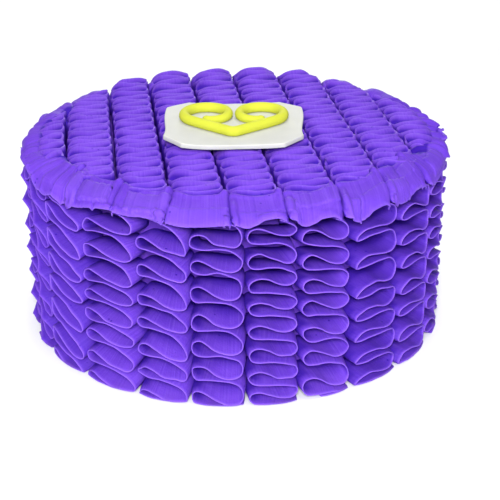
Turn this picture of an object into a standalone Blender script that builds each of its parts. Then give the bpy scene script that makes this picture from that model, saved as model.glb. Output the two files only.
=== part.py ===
# Ruffle fondant cake
# An uncut round cake under piped ruffle icing. Zigzag columns stand round the side, zigzag rows run
# over the top from front to back, and broad folds drape over the rim where the rows end. A thin
# plaque lies on the top and carries a rolled rope, bent to a heart.
# Metres, +Z up. The origin is the middle of the flat base, and the front faces -Y.

import math
import random

import bmesh
import bpy
from mathutils import Vector

MM = 0.001
COLLECTION = "ruffle_fondant_cake"

# Driving dimensions: the body of the cake
CORE_RADIUS = 100.4 * MM
CORE_HEIGHT = 94.7 * MM
CORE_EDGE = 3.0 * MM
CORE_SEGMENTS = 48
CORE_EDGE_SEGMENTS = 2

# Driving dimensions: the ruffle icing
GAP = 0.4 * MM
RUFFLE_RADIUS = 117.0 * MM
RUFFLE_TOP = 108.0 * MM
SIDE_BACK_RADIUS = 101.6 * MM
SIDE_PERIODS = 7.0
SIDE_BACK_TOP = 94.3 * MM
CROWN_FALL = 0.16

# Shares of a ruffle's depth or of its period: how high a valley's floor lies, how near it is to the
# upper pass, how uneven crests and passes are, how near a pass comes to the straight ends, and
# where the first pass lies
VALLEY_SHARE = 0.28
VALLEY_LEAN = 0.58
UNEVEN_CREST = 0.05
UNEVEN_PASS = 0.03
LEAST_STEP = 0.16
FIRST_PASS = 0.5

# Azimuths of the seams between the side columns, seen from the front towards +X, in degrees.
# The columns in view are uneven, and the rest share the back evenly.
FRONT_SEAMS = (-59.0, -42.2, -25.3, -11.2, 2.8, 16.2, 30.4, 46.4, 63.0)
COLUMN_COUNT = 24
SEAM_LEAN = 3.0

# The top rows: where their seams cross the middle of the cake, and their turn about Z
ROW_SEAMS = (-112.0, -93.0, -67.3, -42.2, -15.2, 11.2, 39.0, 64.6, 88.5, 112.0)
ROW_TURN = math.radians(7.5)
ROW_PERIOD = 14.0 * MM
ROW_END_RADIUS = 102.6 * MM
ROW_LEAST_WIDTH = 6.0 * MM

# The folds over the rim
FOLD_INNER_RADIUS = 103.1 * MM
FOLD_FOOT = 95.5 * MM
FOLD_FOOT_WAVE = 2.4 * MM
FOLD_INNER_FOOT = 95.6 * MM
FOLD_STATIONS = 5
FOLD_SEAM_FALL = 2.2 * MM
FOLD_TILT_FALL = 0.9 * MM
FOLD_CREASE = 0.9 * MM
FOLD_CREASE_WAVE = 5.0
FOLD_TOP_DROP = 1.0 * MM
# A fold's outside: how far each place lies inside the ruffles' radius, and how far above its foot
FOLD_OUTSIDE = ((2.0 * MM, 0.0), (0.0, 3.0 * MM), (1.6 * MM, 6.5 * MM))
FOLD_SHOULDER = (6.0 * MM, 1.2 * MM)
FOLD_INNER_LEDGE = 1.0 * MM
OUTER_FOLD_ANGLE = math.radians(18.0)
SIDE_FOLDS = 2
# The folds' lower edge waves round the rim: how many waves there are, their share and their phase
RIM_WAVES = ((9.0, 0.62, 0.0), (4.0, 0.38, 1.0))

# The plaque
PLAQUE_WIDTH = 76.0 * MM
PLAQUE_DEPTH = 70.0 * MM
PLAQUE_THICKNESS = 2.6 * MM
PLAQUE_CORNER = 11.5 * MM
PLAQUE_CORNER_HOLLOW = 1.0 * MM
PLAQUE_SAG = 2.4 * MM
PLAQUE_PLACE = (-0.6 * MM, -1.0 * MM)
PLAQUE_COLUMNS = 6
PLAQUE_CORNER_ROWS = 3

# The rope on the plaque, bent to a heart: its round tip, its sides, and the spirals of its lobes
ROPE_RADIUS = 2.9 * MM
ROPE_END_SHARE = 0.72
ROPE_TAPER_POINTS = 10
ROPE_SIDES = 1
HEART_TIP = -22.5 * MM
HEART_TIP_RADIUS = 4.0 * MM
HEART_TIP_TURN = math.radians(40.0)
HEART_LOBE = (14.0 * MM, 5.5 * MM)
HEART_LOBE_RADIUS = 13.5 * MM
HEART_CURL_RADIUS = 4.5 * MM
HEART_CURL_EASE = 2.6
HEART_LOBE_START = math.radians(-38.0)
HEART_LOBE_END = math.radians(300.0)
HEART_SIDE_PULL = 16.0 * MM
HEART_TIP_STEPS = 2
HEART_SIDE_STEPS = 4
HEART_LOBE_STEPS = 17

# One period of a ruffle: the places across it, and how far along the period its lower and upper
# pass lie there. On the side the lower pass humps at the left and the upper pass at the right.
SIDE_WAVE = ((-1.0, -0.62, -0.1, 0.4, 0.8, 1.0),
             (0.05, 0.26, 0.04, -0.12, -0.10, 0.08),
             (0.92, 0.93, 0.88, 0.74, 0.50, 0.24))
TOP_WAVE = ((-1.0, -0.5, 0.0, 0.5, 1.0),
            (0.12, 0.00, -0.08, -0.06, 0.14),
            (0.84, 0.56, 0.42, 0.38, 0.42))

# Each kind of ruffle draws its unevenness from seeds of its own
SIDE_SEED = 100
TOP_SEED = 200
FOLD_SEED = 300

# Colours as linear RGB, and how rough each icing is
VIOLET = (0.16, 0.06, 0.72)
IVORY = (0.75, 0.75, 0.69)
LEMON = (0.86, 0.88, 0.20)
BUTTERCREAM_ROUGHNESS = 0.5
FONDANT_ROUGHNESS = 0.6


def clear_scene():
    for item in list(bpy.data.objects):
        bpy.data.objects.remove(item, do_unlink=True)


def make_material(name, colour, roughness):
    material = bpy.data.materials.new(name)
    material.use_nodes = True
    shader = material.node_tree.nodes["Principled BSDF"]
    shader.inputs["Base Color"].default_value = (*colour, 1.0)
    shader.inputs["Roughness"].default_value = roughness
    shader.inputs["Metallic"].default_value = 0.0
    return material


def place(item, collection, material):
    collection.objects.link(item)
    item.data.materials.append(material)


def mesh_object(name, mesh_builder, collection, material):
    mesh = bpy.data.meshes.new(name)
    mesh_builder.normal_update()
    bmesh.ops.recalc_face_normals(mesh_builder, faces=mesh_builder.faces)
    mesh_builder.to_mesh(mesh)
    mesh_builder.free()
    item = bpy.data.objects.new(name, mesh)
    place(item, collection, material)
    return item


# The body of the cake

def build_core(collection, material):
    bpy.ops.mesh.primitive_cylinder_add(vertices=CORE_SEGMENTS, radius=CORE_RADIUS, depth=CORE_HEIGHT,
                                        location=(0.0, 0.0, CORE_HEIGHT / 2.0))
    core = bpy.context.active_object
    core.name = "cake_core"
    core.data.name = "cake_core"
    for holder in list(core.users_collection):
        holder.objects.unlink(core)
    place(core, collection, material)
    edge_weights = core.data.attributes.new("bevel_weight_edge", "FLOAT", "EDGE")
    points = core.data.vertices
    for edge in core.data.edges:
        if all(points[index].co.z > 0.0 for index in edge.vertices):
            edge_weights.data[edge.index].value = 1.0
    bevel = core.modifiers.new("top_edge", "BEVEL")
    bevel.width = CORE_EDGE
    bevel.segments = CORE_EDGE_SEGMENTS
    bevel.limit_method = "WEIGHT"
    core.data.shade_smooth()
    return core


# Ruffles: a closed relief of crests along a zigzag, with a valley between each two passes

def ruffle(name, to_world, periods, wave, seed, collection, material):
    """to_world(u, v, h) places a point: u across from -1 to 1, v in periods along, h from 0 at the
    back to 1 at the crests. The relief starts and ends with a straight crest."""
    chance = random.Random(seed)
    builder = bmesh.new()
    across, lower, upper = wave
    last = len(across) - 1
    passes = []
    for index in range(int(round(periods * 2.0)) - 1):
        shape = lower if index % 2 == 0 else upper
        base = index // 2 + FIRST_PASS
        passes.append([base + along + chance.uniform(-UNEVEN_PASS, UNEVEN_PASS) for along in shape])
    start = [0.0] * (last + 1)
    end = [periods] * (last + 1)
    crests = [start]
    for line in passes:
        crests.append([min(max(v, LEAST_STEP), periods - LEAST_STEP) for v in line])
    crests.append(end)

    def point(u, v, h):
        return builder.verts.new(to_world(u, v, h))

    heights = [1.0 - chance.uniform(0.0, UNEVEN_CREST) for _ in crests]
    rows = [[point(u, v, height * crown(u)) for u, v in zip(across, line)]
            for line, height in zip(crests, heights)]
    left_back = [point(-1.0, 0.0, 0.0)]
    right_back = [point(1.0, 0.0, 0.0)]
    for index in range(len(crests) - 1):
        below, above = rows[index], rows[index + 1]
        mouth_left = index % 2 == 1
        valley = []
        for place_index, u in enumerate(across):
            low_v = crests[index][place_index]
            v = low_v + VALLEY_LEAN * (crests[index + 1][place_index] - low_v)
            open_end = place_index == (0 if mouth_left else last)
            closed_end = place_index == (last if mouth_left else 0)
            if closed_end:
                valley.append(None)
            elif open_end:
                valley.append(point(u, v, 0.0))
            else:
                valley.append(point(u, v, VALLEY_SHARE))
        for step in range(last):
            for row in (below, above):
                corners = [row[step], row[step + 1], valley[step + 1], valley[step]]
                builder.faces.new([corner for corner in corners if corner is not None])
        if mouth_left:
            builder.faces.new([below[last], above[last], valley[last - 1]])
            left_back.append(valley[0])
        else:
            builder.faces.new([below[0], valley[1], above[0]])
            right_back.append(valley[last])
    left_back.append(point(-1.0, periods, 0.0))
    right_back.append(point(1.0, periods, 0.0))

    close_side(builder, [row[0] for row in rows], left_back, first_mouth=1)
    close_side(builder, [row[last] for row in rows], right_back, first_mouth=0)
    builder.faces.new([left_back[0], *rows[0], right_back[0]])
    builder.faces.new([left_back[-1], *rows[-1], right_back[-1]])
    close_back(builder, left_back, right_back)
    bmesh.ops.triangulate(builder, faces=builder.faces)
    return mesh_object(name, builder, collection, material)


def crown(u):
    """Share of the crest's height at a place across: the turns at both sides sit a little lower."""
    return 1.0 - CROWN_FALL * abs(u) ** 3


def close_side(builder, ends, back, first_mouth):
    """Walls at one side: from each mouth on the back round the next turn to the next mouth."""
    spans = []
    current = [ends[0]]
    for index in range(1, len(ends)):
        if (index - 1) % 2 == first_mouth:
            spans.append(current)
            current = []
        current.append(ends[index])
    spans.append(current)
    for turn, (low, high) in zip(spans, zip(back, back[1:])):
        builder.faces.new([low, *turn, high])


def close_back(builder, left, right):
    """Joins two chains of points on the back, always taking the shorter step."""
    i = 0
    j = 0
    while i < len(left) - 1 or j < len(right) - 1:
        step_left = j == len(right) - 1
        if i < len(left) - 1 and not step_left:
            next_left = (left[i + 1].co - right[j].co).length
            next_right = (right[j + 1].co - left[i].co).length
            step_left = next_left < next_right
        if step_left:
            builder.faces.new([left[i], left[i + 1], right[j]])
            i += 1
        else:
            builder.faces.new([left[i], right[j], right[j + 1]])
            j += 1


# The side columns

def seam_angles():
    """Azimuths of all column seams in degrees, once round the cake."""
    shown = list(FRONT_SEAMS)
    hidden = COLUMN_COUNT - (len(shown) - 1)
    gap_angle = (shown[0] + 360.0 - shown[-1]) / hidden
    return shown + [shown[-1] + gap_angle * step for step in range(1, hidden + 1)]


def rim_level(angle):
    """Height of the lower edge of the rim folds at an azimuth in radians."""
    wave = sum(share * math.sin(count * angle + phase) for count, share, phase in RIM_WAVES)
    return FOLD_FOOT + FOLD_FOOT_WAVE * wave


def around(angle, radius, height):
    return Vector((radius * math.sin(angle), -radius * math.cos(angle), height))


def lean_seam(seam, share):
    """Azimuth in radians of a seam given in degrees, at a share of its height. Seams at the sides of
    the cake lean towards its front."""
    angle = math.radians(seam)
    return angle + math.radians(SEAM_LEAN) * (0.5 - share) * math.sin(angle)


def build_side_column(index, seams, collection, material):
    clearance = GAP / 2.0 / SIDE_BACK_RADIUS
    depth = RUFFLE_RADIUS - SIDE_BACK_RADIUS

    def to_world(u, v, h):
        share = v / SIDE_PERIODS
        low, high = (lean_seam(seam, share) for seam in seams[index:index + 2])
        angle = (low + high) / 2.0 + u * ((high - low) / 2.0 - clearance)
        top = SIDE_BACK_TOP + h * (rim_level(angle) - 2.0 * GAP - SIDE_BACK_TOP)
        return around(angle, SIDE_BACK_RADIUS + h * depth, GAP + share * (top - GAP))

    name = f"side_ruffle_{index + 1:02d}"
    return ruffle(name, to_world, SIDE_PERIODS, SIDE_WAVE, SIDE_SEED + index, collection, material)


# The top rows

def turn_row_point(across, along, height):
    """From the rows' own axes, along their seams, to the cake's axes."""
    return Vector((across * math.cos(ROW_TURN) - along * math.sin(ROW_TURN),
                   across * math.sin(ROW_TURN) + along * math.cos(ROW_TURN), height))


def row_limits(seam_low, seam_high, along):
    """The row's two sides at a place along it, cut by the round end of the rows."""
    chord = math.sqrt(max(ROW_END_RADIUS ** 2 - along ** 2, 0.0))
    return max(seam_low, -chord), min(seam_high, chord)


def row_reach(seam_low, seam_high):
    """How far a row runs from the middle before it is too narrow for a pass."""
    nearer = min(abs(seam_low), abs(seam_high))
    if seam_low < 0.0 < seam_high:
        nearer = 0.0
    edge = nearer + ROW_LEAST_WIDTH
    return math.sqrt(ROW_END_RADIUS ** 2 - edge ** 2)


def build_top_row(index, collection, material):
    seam_low, seam_high = (seam * MM for seam in ROW_SEAMS[index:index + 2])
    reach = row_reach(seam_low, seam_high)
    periods = round(2.0 * reach / ROW_PERIOD * 2.0) / 2.0
    base = CORE_HEIGHT + GAP

    def to_world(u, v, h):
        along = -reach + 2.0 * reach * v / periods
        low, high = row_limits(seam_low, seam_high, along)
        half = (high - low - GAP) / 2.0
        across = (low + high) / 2.0 + u * half
        return turn_row_point(across, along, base + h * (RUFFLE_TOP - base))

    name = f"top_ruffle_{index + 1:02d}"
    return ruffle(name, to_world, periods, TOP_WAVE, TOP_SEED + index, collection, material)


# The folds over the rim

def rim_fold_seams():
    """Azimuths in radians where the row seams meet the rim, once round, with more at the sides."""
    inner = [math.asin(seam * MM / RUFFLE_RADIUS) for seam in ROW_SEAMS[1:-1]]
    first = inner[0] - OUTER_FOLD_ANGLE
    last = inner[-1] + OUTER_FOLD_ANGLE
    front = [first, *inner, last]
    back = [math.pi - angle for angle in reversed(front)]
    right = spread(front[-1], back[0], SIDE_FOLDS)
    left = spread(back[-1], front[0] + 2.0 * math.pi, SIDE_FOLDS)
    return [angle + ROW_TURN for angle in front + right + back + left + [front[0] + 2.0 * math.pi]]


def spread(start, end, count):
    """The seams between so many equal folds."""
    return [start + (end - start) * step / count for step in range(1, count)]


def fold_profile(level):
    """Radius and height round one section of a fold, from its inner foot outward and over the rim.
    The last two points lie on the fold's upper face."""
    top = RUFFLE_TOP - FOLD_TOP_DROP
    outside = [(RUFFLE_RADIUS - inside, level + above) for inside, above in FOLD_OUTSIDE]
    shoulder = (RUFFLE_RADIUS - FOLD_SHOULDER[0], top - FOLD_SHOULDER[1])
    ledge = (FOLD_INNER_RADIUS + FOLD_INNER_LEDGE, top)
    return [(FOLD_INNER_RADIUS, FOLD_INNER_FOOT), *outside, shoulder, ledge]


def build_rim_fold(index, start, end, collection, material):
    chance = random.Random(FOLD_SEED + index)
    tilt = chance.uniform(-1.0, 1.0)
    phase = chance.uniform(0.0, 2.0 * math.pi)
    builder = bmesh.new()
    clearance = GAP / 2.0 / RUFFLE_RADIUS
    sections = []
    for step in range(FOLD_STATIONS):
        share = step / (FOLD_STATIONS - 1)
        angle = start + clearance + (end - start - 2.0 * clearance) * share
        u = 2.0 * share - 1.0
        crease = FOLD_CREASE * (1.0 + math.sin(FOLD_CREASE_WAVE * u + phase))
        fall = FOLD_SEAM_FALL * abs(u) ** 3 + FOLD_TILT_FALL * (1.0 + tilt * u) + crease
        foot, *outside, shoulder, ledge = fold_profile(rim_level(angle))
        section = [foot]
        section += [(radius - fall, height) for radius, height in outside]
        section += [(radius, height - fall) for radius, height in (shoulder, ledge)]
        sections.append([builder.verts.new(around(angle, radius, height)) for radius, height in section])
    for low, high in zip(sections, sections[1:]):
        for corner in range(len(low)):
            following = (corner + 1) % len(low)
            builder.faces.new([low[corner], low[following], high[following], high[corner]])
    builder.faces.new(sections[0])
    builder.faces.new(sections[-1])
    bmesh.ops.triangulate(builder, faces=builder.faces)
    return mesh_object(f"rim_fold_{index + 1:02d}", builder, collection, material)


# The plaque and its rope heart

def plaque_level(x, y):
    """Height of the plaque's upper face: its middle sags between raised corners."""
    across = x / (PLAQUE_WIDTH / 2.0)
    along = y / (PLAQUE_DEPTH / 2.0)
    return RUFFLE_TOP + GAP + PLAQUE_THICKNESS + PLAQUE_SAG * (across * along) ** 2


def plaque_half_width(y):
    """Half width of the plaque at a place along it, with its corners cut a little hollow."""
    half = PLAQUE_WIDTH / 2.0
    into_corner = max(abs(y) - (PLAQUE_DEPTH / 2.0 - PLAQUE_CORNER), 0.0) / PLAQUE_CORNER
    hollow = PLAQUE_CORNER_HOLLOW * math.sin(math.pi * into_corner)
    return half - PLAQUE_CORNER * into_corner - hollow


def plaque_rows():
    """Places along the plaque where its rows of points lie: closer together in the cut corners."""
    straight = PLAQUE_DEPTH / 2.0 - PLAQUE_CORNER
    corner_rows = [straight + PLAQUE_CORNER * step / PLAQUE_CORNER_ROWS
                   for step in range(1, PLAQUE_CORNER_ROWS + 1)]
    middle_rows = [-straight, -straight / 3.0, straight / 3.0, straight]
    return [-y for y in reversed(corner_rows)] + middle_rows + corner_rows


def build_plaque(collection, material):
    rows = plaque_rows()
    builder = bmesh.new()
    bmesh.ops.create_grid(builder, x_segments=PLAQUE_COLUMNS, y_segments=len(rows) - 1, size=1.0)
    for point in builder.verts:
        y = rows[round((point.co.y + 1.0) / 2.0 * (len(rows) - 1))]
        x = point.co.x * plaque_half_width(y)
        point.co = (x, y, plaque_level(x, y))
    bmesh.ops.triangulate(builder, faces=builder.faces)
    plaque = mesh_object("plaque", builder, collection, material)
    plaque.location = (*PLAQUE_PLACE, 0.0)
    plate = plaque.modifiers.new("plate", "SOLIDIFY")
    plate.thickness = PLAQUE_THICKNESS
    plate.offset = -1.0
    return plaque


def heart_side(start, start_turn, end, end_turn, share):
    """A place on a smooth curve between two places, leaving and arriving in given directions."""
    pull = [HEART_SIDE_PULL * math.cos(start_turn), HEART_SIDE_PULL * math.sin(start_turn)]
    push = [HEART_SIDE_PULL * math.cos(end_turn), HEART_SIDE_PULL * math.sin(end_turn)]
    rest = 1.0 - share
    return tuple((1.0 + 2.0 * share) * rest ** 2 * start[axis] + share * rest ** 2 * pull[axis]
                 + share ** 2 * (1.0 + 2.0 * rest) * end[axis] - share ** 2 * rest * push[axis]
                 for axis in (0, 1))


def heart_lobe(share):
    """A place on the right lobe's spiral, from the heart's side round into the curl."""
    turn = HEART_LOBE_START + (HEART_LOBE_END - HEART_LOBE_START) * share
    reach = HEART_LOBE_RADIUS + (HEART_CURL_RADIUS - HEART_LOBE_RADIUS) * share ** HEART_CURL_EASE
    return HEART_LOBE[0] + reach * math.cos(turn), HEART_LOBE[1] + reach * math.sin(turn)


def heart_half_route():
    """The right half of the heart's middle line, from its tip round the lobe into the curl."""
    middle = HEART_TIP + HEART_TIP_RADIUS
    turns = [HEART_TIP_TURN * step / HEART_TIP_STEPS for step in range(HEART_TIP_STEPS + 1)]
    tip = [(HEART_TIP_RADIUS * math.sin(turn), middle - HEART_TIP_RADIUS * math.cos(turn))
           for turn in turns]
    lobe = [heart_lobe(step / HEART_LOBE_STEPS) for step in range(HEART_LOBE_STEPS + 1)]
    arrive = HEART_LOBE_START + math.pi / 2.0
    side = [heart_side(tip[-1], HEART_TIP_TURN, lobe[0], arrive, step / HEART_SIDE_STEPS)
            for step in range(1, HEART_SIDE_STEPS)]
    return tip + side + lobe


def build_rope_heart(collection, material):
    half = heart_half_route()
    route = [(-x, y) for x, y in reversed(half[1:])] + half
    curve = bpy.data.curves.new("rope_heart", "CURVE")
    curve.dimensions = "3D"
    curve.bevel_depth = ROPE_RADIUS
    curve.bevel_resolution = ROPE_SIDES
    curve.use_fill_caps = True
    spline = curve.splines.new("POLY")
    spline.points.add(len(route) - 1)
    for index, (point, (x, y)) in enumerate(zip(spline.points, route)):
        from_end = min(index, len(route) - 1 - index) / ROPE_TAPER_POINTS
        share = ROPE_END_SHARE + (1.0 - ROPE_END_SHARE) * min(from_end, 1.0)
        point.radius = share
        point.co = (x, y, plaque_level(x, y) + ROPE_RADIUS * share + GAP, 1.0)
    heart = bpy.data.objects.new("rope_heart", curve)
    heart.location = (*PLAQUE_PLACE, 0.0)
    place(heart, collection, material)
    return heart


def build():
    clear_scene()
    collection = bpy.data.collections.new(COLLECTION)
    bpy.context.scene.collection.children.link(collection)
    icing = make_material("ruffle_icing", VIOLET, BUTTERCREAM_ROUGHNESS)
    under_icing = make_material("core_icing", VIOLET, BUTTERCREAM_ROUGHNESS)
    ivory = make_material("plaque_fondant", IVORY, FONDANT_ROUGHNESS)
    lemon = make_material("rope_fondant", LEMON, FONDANT_ROUGHNESS)
    build_core(collection, under_icing)
    seams = seam_angles()
    for index in range(COLUMN_COUNT):
        build_side_column(index, seams, collection, icing)
    for index in range(len(ROW_SEAMS) - 1):
        build_top_row(index, collection, icing)
    folds = rim_fold_seams()
    for index, (start, end) in enumerate(zip(folds, folds[1:])):
        build_rim_fold(index, start, end, collection, icing)
    build_plaque(collection, ivory)
    build_rope_heart(collection, lemon)


build()
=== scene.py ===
# Looks of the ruffle fondant cake
# Each side column and top row is one thin-edged ribbon of icing, piped to and fro, with its thick
# root on the cake. Broad folds drape over the rim, and a thin plaque carries a rope heart.
import math

import bpy
import numpy as np
from mathutils import Matrix, Vector


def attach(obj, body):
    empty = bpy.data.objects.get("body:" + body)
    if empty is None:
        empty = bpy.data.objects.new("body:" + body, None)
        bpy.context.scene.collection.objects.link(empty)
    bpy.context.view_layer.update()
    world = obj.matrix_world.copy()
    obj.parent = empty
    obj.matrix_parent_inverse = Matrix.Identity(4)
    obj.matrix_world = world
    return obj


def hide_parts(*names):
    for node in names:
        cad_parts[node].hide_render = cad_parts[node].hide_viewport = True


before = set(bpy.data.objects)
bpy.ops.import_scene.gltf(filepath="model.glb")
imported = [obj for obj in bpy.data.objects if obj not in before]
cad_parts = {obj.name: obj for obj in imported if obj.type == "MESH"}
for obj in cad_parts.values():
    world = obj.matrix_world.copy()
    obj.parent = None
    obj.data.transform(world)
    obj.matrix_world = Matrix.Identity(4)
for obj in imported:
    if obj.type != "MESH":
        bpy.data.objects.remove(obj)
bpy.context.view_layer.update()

MM = 0.001

# The cake's driving dimensions, as the solids have them
RUFFLE_RADIUS = 117.0 * MM
RUFFLE_TOP = 108.0 * MM
SIDE_BACK_RADIUS = 101.6 * MM
SIDE_BACK_TOP = 94.3 * MM
SIDE_PERIODS = 7
ROOT_RADIUS = 99.6 * MM
ROOT_LEVEL = 94.2 * MM
GAP = 0.4 * MM
CROWN_FALL = 0.16
FRONT_SEAMS = (-59.0, -42.2, -25.3, -11.2, 2.8, 16.2, 30.4, 46.4, 63.0)
COLUMN_COUNT = 24
SEAM_LEAN = 3.0
ROW_SEAMS = (-112.0, -93.0, -67.3, -42.2, -15.2, 11.2, 39.0, 64.6, 88.5, 112.0)
ROW_TURN = math.radians(7.5)
ROW_PERIOD = 14.0 * MM
ROW_END_RADIUS = 102.6 * MM
ROW_LEAST_WIDTH = 6.0 * MM
FOLD_FOOT = 95.5 * MM
FOLD_FOOT_WAVE = 2.4 * MM
OUTER_FOLD_ANGLE = math.radians(18.0)
SIDE_FOLDS = 2
RIM_WAVES = ((9.0, 0.62, 0.0), (4.0, 0.38, 1.0))
CREST_RADIUS = 100.0 * MM
MOST_CREST_SHIFT = math.radians(6.0)
FOLD_LIFT = 3.4 * MM
HIGH_FOLD_LIFT = 2.8 * MM
SIDE_FOLD_LIFT = 1.4 * MM
FOLD_EDGE_HIGHEST = 102.0 * MM
HIGH_FOLDS_AT = math.radians(-22.0)
HIGH_FOLDS_REACH = math.radians(26.0)
FOLD_DRIFT = math.radians(3.0)
FOLD_DRIFT_AT = math.radians(-21.0)
FOLD_DRIFT_REACH = math.radians(14.0)

# The ribbon: its thickness at the edge and at the root, the spacing of its sections, and where
# points lie from the edge (0) to the root (1)
EDGE_THICKNESS = 0.5 * MM
ROOT_THICKNESS = 3.0 * MM
SECTION_STEP = 1.3 * MM
INWARD = (0.0, 0.03, 0.08, 0.16, 0.27, 0.41, 0.57, 0.78, 1.0)

# One period of a side column's edge: places across (-1 to 1) and along, from one left turn up to the
# next. Round columns have tall left loops, even ones loops alike on both sides, flat ones low left
# loops and pointed right ones, hooked ones a sharp left turn, and pinched ones small left loops
# with passes that fall to a sharp point on the right.
ROUND_EDGE = ((-0.95, 0.02), (-0.93, 0.28), (-0.72, 0.47), (-0.44, 0.40), (-0.14, 0.14),
              (0.22, -0.04), (0.60, -0.07), (0.88, 0.06), (0.97, 0.32), (0.84, 0.62),
              (0.50, 0.84), (0.08, 0.93), (-0.36, 0.90), (-0.76, 0.86))
EVEN_EDGE = ((-0.95, 0.06), (-0.84, 0.26), (-0.50, 0.36), (-0.12, 0.24), (0.20, 0.07),
             (0.50, 0.00), (0.80, 0.05), (0.96, 0.27), (0.86, 0.48), (0.54, 0.63),
             (0.14, 0.70), (-0.28, 0.71), (-0.64, 0.73), (-0.88, 0.84))
FLAT_EDGE = ((-0.96, 0.02), (-0.88, 0.20), (-0.60, 0.29), (-0.24, 0.18), (0.20, 0.01),
             (0.62, -0.06), (0.93, -0.09), (1.00, 0.02), (0.94, 0.24), (0.76, 0.52),
             (0.46, 0.78), (0.04, 0.91), (-0.40, 0.93), (-0.80, 0.93))
HOOK_EDGE = ((-0.86, 0.00), (-0.76, 0.14), (-0.60, 0.32), (-0.40, 0.46), (-0.10, 0.47),
             (0.30, 0.33), (0.65, 0.34), (0.93, 0.50), (0.97, 0.72), (0.85, 0.93),
             (0.55, 1.08), (0.10, 1.13), (-0.35, 1.10), (-0.72, 1.02))
PINCH_EDGE = ((-0.94, 0.02), (-1.00, 0.16), (-0.86, 0.28), (-0.55, 0.22), (-0.20, 0.05),
              (0.20, -0.18), (0.60, -0.40), (0.93, -0.52), (0.96, -0.42), (0.84, -0.16),
              (0.58, 0.14), (0.22, 0.44), (-0.24, 0.66), (-0.68, 0.82))
SIDE_ROOT = ((-0.92, 0.02), (-0.90, 0.16), (-0.66, 0.24), (-0.38, 0.24), (-0.08, 0.22),
             (0.24, 0.20), (0.60, 0.20), (0.86, 0.26), (0.92, 0.45), (0.86, 0.62),
             (0.52, 0.72), (0.10, 0.74), (-0.36, 0.76), (-0.76, 0.80))
HOOK_ROOT = ((-0.90, 0.05), (-0.84, 0.16), (-0.66, 0.30), (-0.42, 0.38), (-0.10, 0.40),
             (0.28, 0.36), (0.62, 0.38), (0.88, 0.50), (0.93, 0.68), (0.84, 0.84),
             (0.52, 0.96), (0.10, 1.00), (-0.36, 0.98), (-0.76, 0.98))
PINCH_ROOT = ((-0.92, 0.02), (-0.92, 0.14), (-0.74, 0.22), (-0.45, 0.20), (-0.12, 0.10),
              (0.24, 0.00), (0.60, -0.08), (0.86, -0.08), (0.92, 0.04), (0.84, 0.20),
              (0.56, 0.36), (0.18, 0.52), (-0.26, 0.66), (-0.70, 0.80))
SIDE_ROOT_RISE = 0.26
SIDE_EDGE_WIDTH = 0.94
SIDE_ROOT_WIDTH = 1.0
SIDE_BARREL = 0.07
# Painted shade on the side columns: darker inward and in the left loops, and all over where turns are sharp
SIDE_SHADE = 0.92
SHARP_SHADE = 0.60
# Painted shade on the top rows, in the open gaps between passes, lighter in the middle of a row
TOP_SHADE = 1.0
MIDDLE_SHADE = 0.85
# For the eight columns in front: shares of the round, even, flat, hooked and pinched edge, and how
# many periods stand one above the other
FRONT_SIDE_STYLES = ((0.1, 0.0, 0.1, 0.0, 0.8), (0.45, 0.0, 0.55, 0.0, 0.0), (0.05, 0.0, 0.95, 0.0, 0.0),
                     (1.0, 0.0, 0.0, 0.0, 0.0), (0.0, 1.0, 0.0, 0.0, 0.0), (0.45, 0.55, 0.0, 0.0, 0.0),
                     (0.0, 0.1, 0.0, 0.9, 0.0), (0.2, 0.1, 0.0, 0.7, 0.0))
FRONT_SIDE_PERIODS = (7.0, 7.2, 7.0, 6.4, 7.1, 6.8, 6.9, 7.0)
HIDDEN_SIDE_STYLES = (0.6, 0.6, 0.6, 0.6, 0.6)
LEFT_SIDE_STYLE = (0.0, 0.0, 0.1, 0.0, 0.9)
SPIKED_COLUMNS = 2
SPIKE_RISE = 0.12
SPIKE_FALL = 0.22
SPIKE_AT = 0.15
# Spiked columns get less of the painted highlight on their thin edges
SPIKED_EDGE_HIGHLIGHT = 0.5
UNEVEN_PERIOD = 0.10
FIRST_OPEN_TOP = 3

# One period of a top row's edge, from one left turn back to the next. The passes bow to the front
# and lean back, so that each lies on the one behind it: TOP_LEAN holds how far forward and down the
# sheet goes from its edge.
TOP_EDGE = ((-0.94, -0.10), (-0.82, 0.14), (-0.45, 0.13), (0.00, 0.05), (0.45, -0.03),
            (0.82, -0.05), (0.95, 0.25), (0.84, 0.60), (0.45, 0.62), (0.00, 0.55),
            (-0.45, 0.47), (-0.82, 0.45), (-0.94, 0.60))
TOP_EDGE_WIDTH = 0.93
TOP_BOW = 0.50
TOP_LEAN = ((0.0, 0.0), (0.9, 0.25), (2.1, 0.7), (3.4, 1.5), (4.5, 2.9), (5.2, 5.2), (5.8, 13.8))
FIRST_PASS_LEAN = 0.4
# The two outer rows keep this share of the painted shade below their first pass
OUTER_FIRST_PASS_SHADE = 0.2
TOP_EDGE_THICKNESS = 0.9 * MM
# Painted highlight on the top rows: on the thin edges, and in a band just below them
TOP_EDGE_HIGHLIGHT = 0.6
TOP_BAND_HIGHLIGHT = 0.32
TOP_TIP = 0.9 * MM
ROW_INSET = 8.0 * MM
ROW_OUTSIDE = 114.5 * MM
ROW_BACK_WIDTH = 17.0 * MM
ROW_BACK_INSET = 4.0 * MM
OUTER_ROW_FRONTS = (36.0 * MM, 42.0 * MM)
ROW_END_DROOP = 8.0 * MM
ROW_END_SOFTNESS = 13.0 * MM
ROW_REAR_LIFT = 3.2 * MM
ROW_REAR_DOME = 3.0 * MM
DOME_LEFT = 5.0 * MM
DOME_RIGHT = 2.8 * MM

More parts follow.
